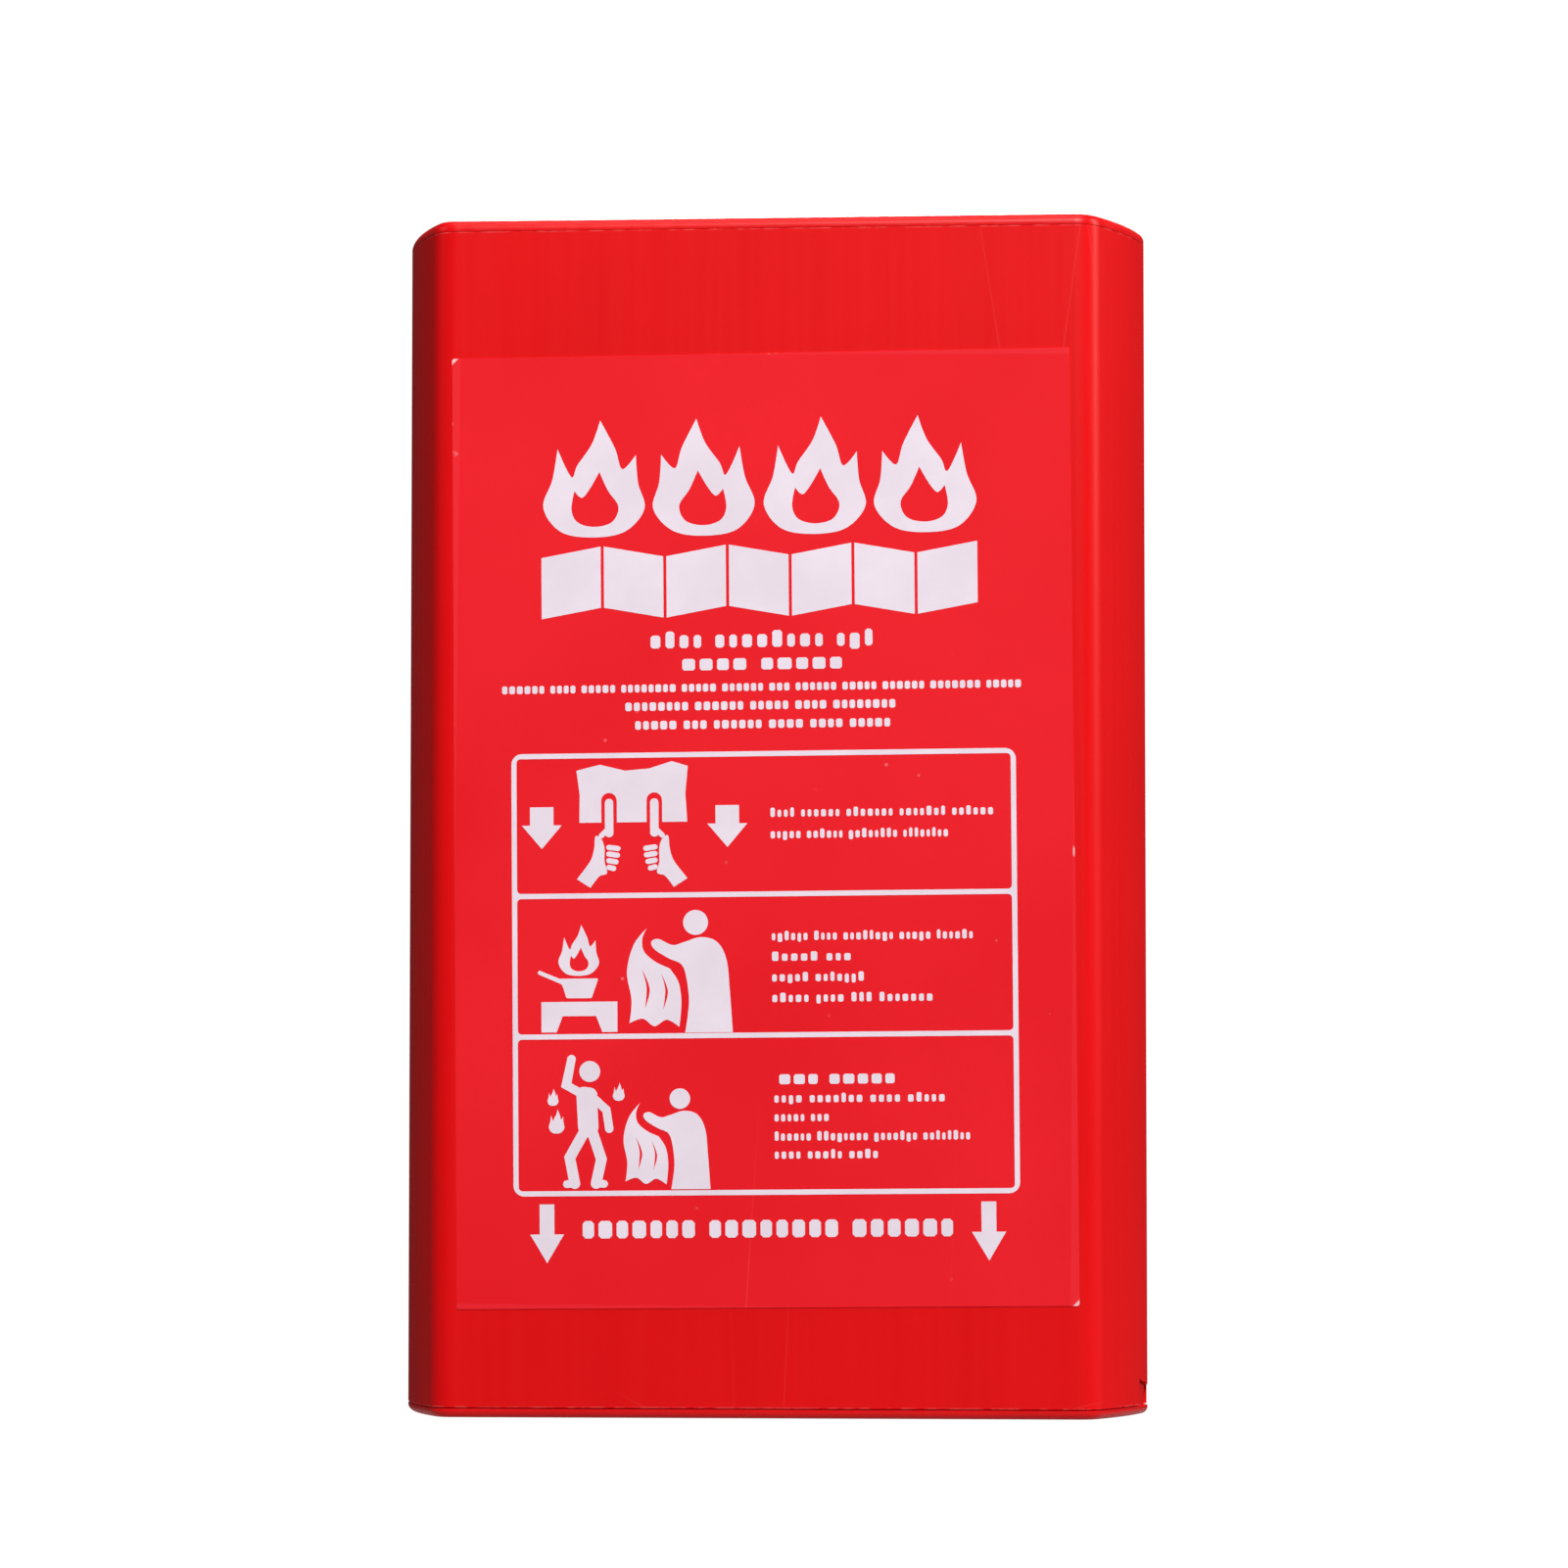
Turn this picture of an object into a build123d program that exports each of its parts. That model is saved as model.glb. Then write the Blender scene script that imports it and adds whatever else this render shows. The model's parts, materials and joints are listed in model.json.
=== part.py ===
from build123d import *
import math
import os

# Fire blanket in a wall case: a 1 m square of glass cloth, folded into a pack, waits in a red
# plastic case.  Two tapes sewn to the cloth leave through the bottom cap and are folded flat
# beneath it.  Pulled down, they draw the pack out, and the pack pushes the bottom cap off.
#
# Millimetres, +Z up, -Y is the front.  The origin is at the middle of the footprint, on the
# surface that the case stands on.

# ---- driving dimensions ---------------------------------------------------------------------
WIDTH = 169.0            # case, across its widest, near the wall
DEPTH = 37.0             # case, front to back, without the label
HEIGHT = 269.4           # case, with both caps
WALL = 1.8               # extruded tube
FRONT_RADIUS = 6.0       # vertical corners at the front
BACK_RADIUS = 4.5        # vertical corners against the wall
FRONT_TURN = 64.0        # degrees that a front corner turns; the side leans out from there
SIDE_TURN = 80.0         # degrees turned where the gently curved side meets the back corner
CUT_CHAMFER = 0.2        # sawn ends of the tube

TOP_FLANGE = 2.6         # thickness of the top cap's rim
TOP_FILLET = 2.2         # rounding of its outer edge
BOTTOM_FLANGE = 2.0      # the same for the bottom cap
BOTTOM_FILLET = 1.7
CAP_SKIRT_WALL = 1.5
SEAM = 0.15              # open line between the tube and the bottom cap
RUNNING_GAP = 0.3        # bottom cap's skirt in the tube, each side
FIXED_GAP = 0.1          # top cap's skirt in the tube, each side

LABEL_WIDTH = 139.2
LABEL_HEIGHT = 213.7
LABEL_THICKNESS = 0.2
LABEL_X = -0.2           # the label was stuck on a little off centre and a little crooked
LABEL_Z = 131.5
LABEL_TILT = 0.45        # degrees, anticlockwise seen from the front
LABEL_CORNER = 0.6

PANELS_ACROSS = 7        # first fold of the cloth, a zigzag across its width
PANELS_ALONG = 4         # second fold, a zigzag along its length
CLOTH = 1000.0           # side of the square of cloth
LAYER_PITCH = 26.0 / 28  # room that one layer takes in the pack

TAPE_WIDTH = 25.0
TAPE = 1.1               # thickness of the woven tape
TAPE_X = 50.0            # each tape's distance from the middle
ANCHOR_HEIGHT = 62.0     # stretch of tape sewn up the front of the pack
STITCH = 0.5             # thickness of a sewing thread

# ---- levels and places worked out from them ---------------------------------------------------
def heading(degrees):
    """The way that the skin faces, after turning so far from the front."""
    turn = math.radians(degrees)
    return Vector(math.sin(turn), -math.cos(turn))


# The skin of each side is three tangent arcs: front corner, side and back corner.
SIDE_DEPTH = DEPTH - FRONT_RADIUS * (1 + heading(FRONT_TURN).Y) - BACK_RADIUS * (1 - heading(SIDE_TURN).Y)
SIDE_RADIUS = SIDE_DEPTH / (heading(SIDE_TURN).Y - heading(FRONT_TURN).Y)
BACK_CENTRE = Vector(WIDTH / 2 - BACK_RADIUS, DEPTH / 2 - BACK_RADIUS)
SIDE_CENTRE = BACK_CENTRE - (SIDE_RADIUS - BACK_RADIUS) * heading(SIDE_TURN)
FRONT_CENTRE = SIDE_CENTRE + (SIDE_RADIUS - FRONT_RADIUS) * heading(FRONT_TURN)
SKIN_ARCS = (
    (FRONT_CENTRE, FRONT_RADIUS, 0.0, FRONT_TURN),
    (SIDE_CENTRE, SIDE_RADIUS, FRONT_TURN, SIDE_TURN),
    (BACK_CENTRE, BACK_RADIUS, SIDE_TURN, 180.0),
)

LABEL_SHIFT = LABEL_THICKNESS / 2            # centres the whole footprint, label included
TUBE_BOTTOM = BOTTOM_FLANGE + SEAM
TUBE_TOP = HEIGHT - TOP_FLANGE
RECESS = 6.4                                 # depth of the tape recess under the bottom cap
WEB = 1.6                                    # floor of the bottom cap
BOTTOM_SKIRT_TOP = 14.0
TOP_SKIRT_BOTTOM = 259.2
BOTTOM_SKIRT_INSET = WALL + RUNNING_GAP
BOTTOM_HOLLOW_INSET = BOTTOM_SKIRT_INSET + CAP_SKIRT_WALL
TOP_SKIRT_INSET = WALL + FIXED_GAP
TOP_HOLLOW_INSET = TOP_SKIRT_INSET + CAP_SKIRT_WALL

PACK_WIDTH = CLOTH / PANELS_ACROSS
PACK_HEIGHT = CLOTH / PANELS_ALONG
PACK_DEPTH = PANELS_ACROSS * PANELS_ALONG * LAYER_PITCH
PACK_FRONT = -13.2
PACK_BOTTOM = RECESS + WEB + 0.4
PACK_ROUNDING = 2.0

RIB_WIDTH = 1.6                              # ribs hold the pack off the wall screws' heads
RIB_DEPTH = 3.5
RIB_X = (22.0, 60.0)
RIB_BOTTOM = BOTTOM_SKIRT_TOP + 2
RIB_TOP = TOP_SKIRT_BOTTOM - 2

KEYHOLE_X = 40.0
KEYHOLE_Z = 226.0
KEYHOLE_HEAD = 4.5                           # radius that the screw's head passes
KEYHOLE_SLOT = 2.25                          # half the width of the slot above it
KEYHOLE_RISE = 9.0

NOTCH_FRONT = 6.0                            # thumb notch in the foot of the right side wall
NOTCH_BACK = 15.5
NOTCH_TALL = 8.2                             # level of its upper edge at the front end
NOTCH_LOW = 6.4                              # and at the back end
NOTCH_INNER = 76.0                           # it lies further right than this
PAD_GAP = 0.35                               # cap's thumb pad inside that notch
PAD_INSET = 0.8                              # how far the pad lies below the tube's skin

TAPE_FRONT = PACK_FRONT - TAPE - 0.1         # front of the tape that hangs down the pack
BEND_INNER = 0.5                             # inner radius of the tape's bend out of the slot
TURN_INNER = 0.45                            # inner radius of its turn back at the far side
DROP_Y = TAPE_FRONT + TAPE + BEND_INNER      # axis on which the folded tape drops
DROP_Z = 6.5
TURN_Y = 11.0                                # axis on which the loop unfolds
TAIL_TOP = DROP_Z - BEND_INNER
TAIL_BOTTOM = TAIL_TOP - TAPE
TURN_Z = TAIL_BOTTOM - TURN_INNER
LOOP_TOP = TURN_Z - TURN_INNER
LOOP_END_Y = DROP_Y + 0.8                    # rounded end of the pull loop, near the slot
LOOP_BOTTOM = LOOP_TOP - 2 * TAPE - 0.1


# ---- helpers ------------------------------------------------------------------------------------
def outline(inset=0.0):
    """The case's plan section, drawn inset millimetres inside its skin."""
    arcs = []
    for centre, radius, start, end in SKIN_ARCS:
        turns = (start, (start + end) / 2, end)
        arcs.append(ThreePointArc(*[centre + (radius - inset) * heading(turn) for turn in turns]))
    edges = arcs + [mirrored(arc) for arc in arcs]
    for end in (arcs[0] @ 0, arcs[-1] @ 1):
        edges.append(Line((-end.X, end.Y), (end.X, end.Y)))
    return make_face(edges)


def prism(inset, bottom, top):
    """A solid with that section, from one level to another."""
    return Pos(0, 0, bottom) * extrude(outline(inset), top - bottom)


def block(x, y, z):
    """A box between two values on each axis."""
    size = [b - a for a, b in (x, y, z)]
    middle = [(a + b) / 2 for a, b in (x, y, z)]
    return Pos(*middle) * Box(*size)


def side_wedge(gap, bottom):
    """The thumb notch's sloping shape, shrunk by gap, right across the case."""
    corners = [
        (NOTCH_FRONT + gap, bottom),
        (NOTCH_BACK - gap, bottom),
        (NOTCH_BACK - gap, NOTCH_LOW - gap),
        (NOTCH_FRONT + gap, NOTCH_TALL - gap),
    ]
    profile = Plane.YZ * make_face(Polyline(*corners, close=True))
    return extrude(profile, WIDTH, both=True)


def right_only(shape, inner):
    """What of a shape lies further right than inner."""
    return shape - block((-2 * WIDTH, inner), (-DEPTH, DEPTH), (-HEIGHT, 2 * HEIGHT))


def mirrored(shape):
    return mirror(shape, Plane.YZ)


# ---- case ---------------------------------------------------------------------------------------
def make_case_body():
    tube = prism(0, TUBE_BOTTOM, TUBE_TOP)
    ends = tube.edges().group_by(Axis.Z)
    tube = chamfer(ends[0] + ends[-1], CUT_CHAMFER)
    tube -= prism(WALL, TUBE_BOTTOM - 1, TUBE_TOP + 1)
    inner_back = DEPTH / 2 - WALL
    for x in (-RIB_X[1], -RIB_X[0], RIB_X[0], RIB_X[1]):
        sides = (x - RIB_WIDTH / 2, x + RIB_WIDTH / 2)
        tube += block(sides, (inner_back - RIB_DEPTH, inner_back + 0.2), (RIB_BOTTOM, RIB_TOP))
    for x in (-KEYHOLE_X, KEYHOLE_X):
        tube -= keyhole(x)
    tube -= right_only(side_wedge(0, 0), NOTCH_INNER)
    return tube


def keyhole(x):
    """A hole for a screw's head, with the slot above it that the shank rises into."""
    wall_middle = DEPTH / 2 - WALL / 2
    head = Pos(x, wall_middle, KEYHOLE_Z) * Rot(90, 0, 0) * Cylinder(KEYHOLE_HEAD, 3 * WALL)
    seat = Pos(x, wall_middle, KEYHOLE_Z + KEYHOLE_RISE) * Rot(90, 0, 0)
    shank = seat * Cylinder(KEYHOLE_SLOT, 3 * WALL)
    depth = (wall_middle - 1.5 * WALL, wall_middle + 1.5 * WALL)
    rise = (KEYHOLE_Z, KEYHOLE_Z + KEYHOLE_RISE)
    return head + shank + block((x - KEYHOLE_SLOT, x + KEYHOLE_SLOT), depth, rise)


def make_top_cap():
    rim = prism(0, TUBE_TOP, HEIGHT)
    rim = fillet(rim.edges().group_by(Axis.Z)[-1], TOP_FILLET)
    skirt = prism(TOP_SKIRT_INSET, TOP_SKIRT_BOTTOM, TUBE_TOP)
    skirt = chamfer(skirt.edges().group_by(Axis.Z)[0], 0.6)
    cap = rim + skirt - prism(TOP_HOLLOW_INSET, TOP_SKIRT_BOTTOM - 1, TUBE_TOP - 0.4)
    hollow_depth = DEPTH / 2 - TOP_HOLLOW_INSET + 0.3
    for x in (-40.0, 0.0, 40.0):
        cap += block((x - 0.7, x + 0.7), (-hollow_depth, hollow_depth), (TUBE_TOP - 3.4, TUBE_TOP))
    return cap


def make_front_label():
    sheet = fillet(Rectangle(LABEL_WIDTH, LABEL_HEIGHT).vertices(), LABEL_CORNER)
    plate = Rot(90, 0, 0) * extrude(sheet, LABEL_THICKNESS)
    return Pos(LABEL_X, -DEPTH / 2, LABEL_Z) * Rot(0, -LABEL_TILT, 0) * plate


# ---- bottom cap ---------------------------------------------------------------------------------
def make_bottom_cap():
    rim = prism(0, 0, BOTTOM_FLANGE)
    rim = fillet(rim.edges().group_by(Axis.Z)[0], BOTTOM_FILLET)
    skirt = prism(BOTTOM_SKIRT_INSET, BOTTOM_FLANGE, BOTTOM_SKIRT_TOP)
    skirt = chamfer(skirt.edges().group_by(Axis.Z)[-1], 0.6)
    pad = side_wedge(PAD_GAP, 0) & prism(PAD_INSET, BOTTOM_FLANGE - 0.2, NOTCH_TALL)
    cap = rim + skirt + right_only(pad, NOTCH_INNER)
    cap -= prism(BOTTOM_HOLLOW_INSET, -1, RECESS)
    cap -= prism(BOTTOM_HOLLOW_INSET, RECESS + WEB, BOTTOM_SKIRT_TOP + 1)
    for side in (-1, 1):
        middle = side * TAPE_X
        slot_x = (middle - TAPE_WIDTH / 2 - 1, middle + TAPE_WIDTH / 2 + 1)
        slot_y = (-DEPTH / 2 + BOTTOM_HOLLOW_INSET, DROP_Y + 0.3)
        cap -= block(slot_x, slot_y, (RECESS - 1, RECESS + WEB + 1))
    return cap


# ---- blanket and its tapes ----------------------------------------------------------------------
def make_blanket():
    levels = (PACK_BOTTOM, PACK_BOTTOM + PACK_HEIGHT)
    depth = (PACK_FRONT, PACK_FRONT + PACK_DEPTH)
    pack = block((-PACK_WIDTH / 2, PACK_WIDTH / 2), depth, levels)
    return fillet(pack.edges(), PACK_ROUNDING)


def right_anchor():
    """The stretch of tape that is sewn to the pack, down to its bend under the slot."""
    sides = (TAPE_X - TAPE_WIDTH / 2, TAPE_X + TAPE_WIDTH / 2)
    return block(sides, (TAPE_FRONT, TAPE_FRONT + TAPE), (DROP_Z, PACK_BOTTOM + ANCHOR_HEIGHT))


def stitch_row(start, end, count, normal_offset):
    """Thread laid along a line on the tape's front: count short stitches, with gaps between."""
    stitches = []
    for i in range(count):
        near = (i + 0.12) / count
        far = (i + 0.88) / count
        a = Vector(*start) + (Vector(*end) - Vector(*start)) * near
        b = Vector(*start) + (Vector(*end) - Vector(*start)) * far
        along = b - a
        middle = (a + b) / 2
        plane = Plane(origin=(middle.X, middle.Y, middle.Z), x_dir=along, z_dir=normal_offset)
        stitches.append(plane * Box(along.length, STITCH, STITCH / 2))
    return stitches


def right_anchor_stitching():
    """A sewn square with its two diagonals, near the tape's upper end."""
    y = TAPE_FRONT - STITCH / 4
    half = TAPE_WIDTH / 2 - 2.5
    low = PACK_BOTTOM + ANCHOR_HEIGHT - 3 - 2 * half
    high = low + 2 * half
    left = TAPE_X - half
    right = TAPE_X + half
    inner = 1.6
    rows = [
        ((left, y, low), (right, y, low)),
        ((right, y, low), (right, y, high)),
        ((right, y, high), (left, y, high)),
        ((left, y, high), (left, y, low)),
        ((left + inner, y, low + inner), (right - inner, y, high - inner)),
    ]
    stitches = []
    for start, end in rows:
        stitches += stitch_row(start, end, 7, (0, -1, 0))
    crossing = stitch_row((left + inner, y, high - inner), (right - inner, y, low + inner), 7, (0, -1, 0))
    del crossing[3]
    return stitches + crossing


def right_tail():
    """Tape from the slot's bend, across under the cap, and round its turn at the far side."""
    sides = (TAPE_X - TAPE_WIDTH / 2, TAPE_X + TAPE_WIDTH / 2)
    return block(sides, (DROP_Y, TURN_Y), (TAIL_BOTTOM, TAIL_TOP))


def right_loop():
    """The end of the tape, doubled back on itself and sewn into a pull loop."""
    sides = (TAPE_X - TAPE_WIDTH / 2, TAPE_X + TAPE_WIDTH / 2)
    band = block(sides, (LOOP_END_Y, TURN_Y), (LOOP_BOTTOM, LOOP_TOP))
    end = band.edges().filter_by(Axis.X).group_by(Axis.Y)[0]
    return fillet(end, TAPE)


def right_loop_stitching():
    """Three short rows of thread that close the loop."""
    z = LOOP_BOTTOM - STITCH / 4
    stitches = []
    for row in range(3):
        y = TURN_Y - 2.0 - 1.8 * row
        ends = (TAPE_X - TAPE_WIDTH / 2 + 2, y, z), (TAPE_X + TAPE_WIDTH / 2 - 2, y, z)
        stitches += stitch_row(ends[0], ends[1], 8, (0, 0, -1))
    return stitches


# ---- write one file per piece -------------------------------------------------------------------
def save(name, shape):
    solids = shape if isinstance(shape, list) else [shape]
    placed = [Pos(0, LABEL_SHIFT, 0) * solid for solid in solids]
    piece = placed[0] if len(placed) == 1 else Compound(children=placed)
    piece.label = name
    export_step(piece, f"parts/{name}.step")


os.makedirs("parts", exist_ok=True)
save("case_body", make_case_body())
save("top_cap", make_top_cap())
save("front_label", make_front_label())
save("bottom_cap", make_bottom_cap())
save("blanket", make_blanket())
for piece, make in (
    ("tape_anchor", right_anchor),
    ("tape_tail", right_tail),
    ("tape_loop", right_loop),
):
    save(f"right_{piece}", make())
    save(f"left_{piece}", mirrored(make()))
for piece, make in (
    ("anchor_stitching", right_anchor_stitching),
    ("loop_stitching", right_loop_stitching),
):
    save(f"right_{piece}", make())
    save(f"left_{piece}", [mirrored(stitch) for stitch in make()])
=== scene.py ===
"""Fire blanket in a red wall case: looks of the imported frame.

The case, caps and sewing threads are the CAD's own nodes with better materials.  The label's print,
the folded glass cloth and the woven tapes are made here.  Metres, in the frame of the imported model.
"""
import json
import math
import random

import bmesh
import bpy
from mathutils import Matrix, Vector, noise


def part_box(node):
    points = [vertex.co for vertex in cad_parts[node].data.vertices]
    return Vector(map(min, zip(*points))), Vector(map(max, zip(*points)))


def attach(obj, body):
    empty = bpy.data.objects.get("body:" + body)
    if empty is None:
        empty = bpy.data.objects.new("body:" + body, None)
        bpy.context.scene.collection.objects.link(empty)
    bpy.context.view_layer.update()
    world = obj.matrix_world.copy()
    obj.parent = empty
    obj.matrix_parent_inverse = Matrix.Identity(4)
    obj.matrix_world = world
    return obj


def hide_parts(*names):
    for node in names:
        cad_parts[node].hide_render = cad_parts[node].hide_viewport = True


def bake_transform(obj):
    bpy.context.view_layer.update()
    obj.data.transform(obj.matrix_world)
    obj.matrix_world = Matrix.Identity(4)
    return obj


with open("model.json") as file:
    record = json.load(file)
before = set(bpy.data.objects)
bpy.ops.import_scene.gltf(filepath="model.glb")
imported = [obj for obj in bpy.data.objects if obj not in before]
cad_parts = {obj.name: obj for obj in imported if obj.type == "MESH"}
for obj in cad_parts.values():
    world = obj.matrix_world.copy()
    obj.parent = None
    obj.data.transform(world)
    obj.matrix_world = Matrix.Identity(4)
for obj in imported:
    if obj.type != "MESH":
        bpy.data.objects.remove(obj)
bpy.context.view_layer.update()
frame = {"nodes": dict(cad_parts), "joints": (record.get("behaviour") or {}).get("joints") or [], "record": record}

MM = 0.001

# ---- places read from the frame -------------------------------------------------------------
CASE_LOW, CASE_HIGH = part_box("case_body")
LABEL_LOW, LABEL_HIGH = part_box("front_label")
PACK_LOW, PACK_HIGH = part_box("blanket")
LABEL_MIDDLE = (LABEL_LOW + LABEL_HIGH) / 2
LABEL_SIZE = (139.2 * MM, 213.7 * MM)
LABEL_TILT = math.radians(0.45)
JOINTS = {joint["name"]: joint for joint in frame["joints"]}
RELEASE = JOINTS["blanket_release"]["range_m"][1]


# ---- materials: small helpers ---------------------------------------------------------------
class Recipe:
    """Builds one node material.  Values that never vary are set straight on the shader."""

    def __init__(self, name, **shader_values):
        self.material = bpy.data.materials.new(name)
        self.material.use_nodes = True
        self.tree = self.material.node_tree
        self.shader = self.tree.nodes["Principled BSDF"]
        for socket, value in shader_values.items():
            self.shader.inputs[socket.replace("_", " ")].default_value = value

    def feed(self, socket, value):
        if isinstance(value, bpy.types.NodeSocket):
            self.tree.links.new(value, socket)
        elif value is not None:
            socket.default_value = value

    def node(self, kind, inputs=None, **settings):
        made = self.tree.nodes.new(kind)
        for setting, value in settings.items():
            setattr(made, setting, value)
        for socket, value in (inputs or {}).items():
            self.feed(made.inputs[socket], value)
        return made

    def place(self, scale=(1, 1, 1), turn=(0, 0, 0), shift=(0, 0, 0), uv=None):
        """The point on the surface, in metres, scaled, turned and shifted."""
        if uv:
            point = self.node("ShaderNodeUVMap", uv_map=uv).outputs["UV"]
        else:
            point = self.node("ShaderNodeTexCoord").outputs["Object"]
        values = {"Vector": point, "Scale": scale, "Rotation": turn, "Location": shift}
        return self.node("ShaderNodeMapping", values).outputs["Vector"]

    def noise(self, where, scale, detail=2.0, roughness=0.5):
        values = {"Vector": where, "Scale": scale, "Detail": detail, "Roughness": roughness}
        return self.node("ShaderNodeTexNoise", values).outputs["Fac"]

    def cells(self, where, scale, feature="F1"):
        values = {"Vector": where, "Scale": scale}
        return self.node("ShaderNodeTexVoronoi", values, feature=feature).outputs["Distance"]

    def math(self, operation, a, b=0.0, clamp=False):
        values = {0: a, 1: b}
        return self.node("ShaderNodeMath", values, operation=operation, use_clamp=clamp).outputs[0]

    def ramp(self, value, low, high, to_low=0.0, to_high=1.0, smooth=True):
        """Value from low to high becomes to_low to to_high, and stays there beyond."""
        kind = "SMOOTHSTEP" if smooth else "LINEAR"
        values = {
            "Value": value,
            "From Min": low,
            "From Max": high,
            "To Min": to_low,
            "To Max": to_high,
        }
        return self.node("ShaderNodeMapRange", values, interpolation_type=kind).outputs["Result"]

    def mix(self, share, a, b):
        made = self.node("ShaderNodeMix", data_type="RGBA")
        self.feed(made.inputs["Factor"], share)
        for socket, colour in ((made.inputs[6], a), (made.inputs[7], b)):
            self.feed(socket, (*colour, 1.0) if isinstance(colour, tuple) else colour)
        return made.outputs[2]

    def axes(self, where):
        return self.node("ShaderNodeSeparateXYZ", {"Vector": where}).outputs

    def bump(self, height, distance, strength=1.0, below=None):
        values = {"Height": height, "Distance": distance, "Strength": strength}
        if below is not None:
            values["Normal"] = below
        return self.node("ShaderNodeBump", values).outputs["Normal"]

    def finish(self, colour=None, roughness=None, normal=None):
        self.feed(self.shader.inputs["Base Color"], colour)
        self.feed(self.shader.inputs["Roughness"], roughness)
        self.feed(self.shader.inputs["Normal"], normal)
        return self.material


def scratches(recipe, where, density, width):
    """Sparse hairline marks: cell edges of a stretched pattern, kept only in a few patches."""
    edge = recipe.cells(where, density, feature="DISTANCE_TO_EDGE")
    line = recipe.ramp(edge, width, 0.0)
    patches = recipe.ramp(recipe.noise(where, density * 0.35, 1.0), 0.6, 0.72)
    return recipe.math("MULTIPLY", line, patches)


# ---- materials --------------------------------------------------------------------------------
RED = (0.74, 0.0026, 0.0040)
RED_DEEP = (0.69, 0.0020, 0.0034)
RED_PALE = (0.95, 0.16, 0.16)
CAP_RED = (0.76, 0.0032, 0.0050)
CAP_RED_DEEP = (0.70, 0.0020, 0.0036)
FILM_RED = (0.815, 0.0095, 0.0180)
FILM_RED_DEEP = (0.765, 0.0065, 0.0135)
FILM_EDGE_HIGHLIGHT = (0.9, 0.05, 0.07)
FILM_DUST = (0.95, 0.35, 0.38)
FILM_SCRATCH = (0.95, 0.3, 0.33)
FILM_GLINT = (0.97, 0.72, 0.72)
INK_WHITE = (0.82, 0.72, 0.80)
INK_SHADE = (0.76, 0.66, 0.74)
INK_PIT = (0.85, 0.30, 0.36)
GLASS_PALE = (0.80, 0.78, 0.70)
GLASS_SHADE = (0.66, 0.63, 0.54)
GLASS_YELLOWED = (0.84, 0.80, 0.66)
GLASS_GAP_SHADE = (0.36, 0.33, 0.27)
TAPE_YARN = (0.035, 0.035, 0.038)
TAPE_GAP_SHADE = (0.006, 0.006, 0.007)
TAPE_DUSTY = (0.05, 0.05, 0.053)
TAPE_FUZZ = (0.14, 0.14, 0.145)
THREAD_PALE = (0.86, 0.84, 0.78)
THREAD_GROOVE_SHADE = (0.62, 0.60, 0.54)


def case_plastic():
    """Extruded PVC: satin red, with faint streaks along its length, and pale nicks along the sawn ends that are
    burr and a painted highlight of the cut edge.
    """
    r = Recipe("case_plastic", IOR=1.5, Specular_IOR_Level=0.16)
    body = r.place()
    streak_space = r.place(scale=(1.0, 1.0, 0.012))
    fine = r.noise(streak_space, 620.0, 3.0, 0.6)
    broad = r.noise(streak_space, 70.0, 2.0)
    cloud = r.noise(body, 22.0, 3.0)
    grain = r.noise(body, 2600.0, 2.0)
    marks_a = scratches(r, r.place(scale=(1.0, 1.0, 0.10), turn=(0.0, 0.35, 0.2)), 60.0, 0.006)
    marks_b = scratches(r, r.place(scale=(0.16, 1.0, 1.0), turn=(0.0, 0.25, 0.0)), 48.0, 0.005)
    marks = r.math("MAXIMUM", marks_a, marks_b)
    z = r.axes(body)[2]
    # Pale nicks along both sawn ends: burr, and a painted highlight along the cut edge.
    end_band_start, end_band_full = 0.55 * MM, 0.15 * MM
    top_end = r.ramp(z, CASE_HIGH.z - end_band_start, CASE_HIGH.z - end_band_full)
    low_end = r.ramp(z, CASE_LOW.z + end_band_start, CASE_LOW.z + end_band_full)
    nicks = r.ramp(r.noise(body, 330.0, 3.0), 0.42, 0.6)
    glints_and_nicks = r.math("MULTIPLY", r.math("MAXIMUM", top_end, low_end), nicks)
    tone = r.math("ADD", r.math("MULTIPLY", broad, 0.5), r.math("MULTIPLY", cloud, 0.5))
    colour = r.mix(r.ramp(tone, 0.3, 0.7), RED_DEEP, RED)
    colour = r.mix(r.math("MULTIPLY", marks, 0.12), colour, RED_PALE)
    # the pale nicks at the sawn ends, burr and painted highlight together
    colour = r.mix(r.math("MULTIPLY", glints_and_nicks, 0.35), colour, RED_PALE)
    rough = r.ramp(fine, 0.3, 0.7, 0.38, 0.44)
    rough = r.math("ADD", rough, r.math("MULTIPLY", marks, 0.12))
    normal = r.bump(fine, 0.012 * MM, 0.3)
    normal = r.bump(grain, 0.01 * MM, 0.35, normal)
    return r.finish(colour, rough, normal)


def cap_plastic():
    """Moulded plastic, a touch glossier, with the faint orange peel of the mould."""
    r = Recipe("cap_plastic", IOR=1.5, Specular_IOR_Level=0.24)
    body = r.place()
    peel = r.noise(body, 420.0, 2.0)
    cloud = r.noise(body, 30.0, 3.0)
    grain = r.noise(body, 2400.0, 2.0)
    marks = scratches(r, r.place(scale=(0.3, 1.0, 1.0), turn=(0.1, 0.2, 0.5)), 90.0, 0.008)
    colour = r.mix(r.ramp(cloud, 0.3, 0.7), CAP_RED_DEEP, CAP_RED)
    colour = r.mix(r.math("MULTIPLY", marks, 0.2), colour, RED_PALE)
    rough = r.ramp(peel, 0.3, 0.7, 0.30, 0.40)
    normal = r.bump(peel, 0.02 * MM, 0.3)
    normal = r.bump(grain, 0.006 * MM, 0.3, normal)
    return r.finish(colour, rough, normal)


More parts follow.
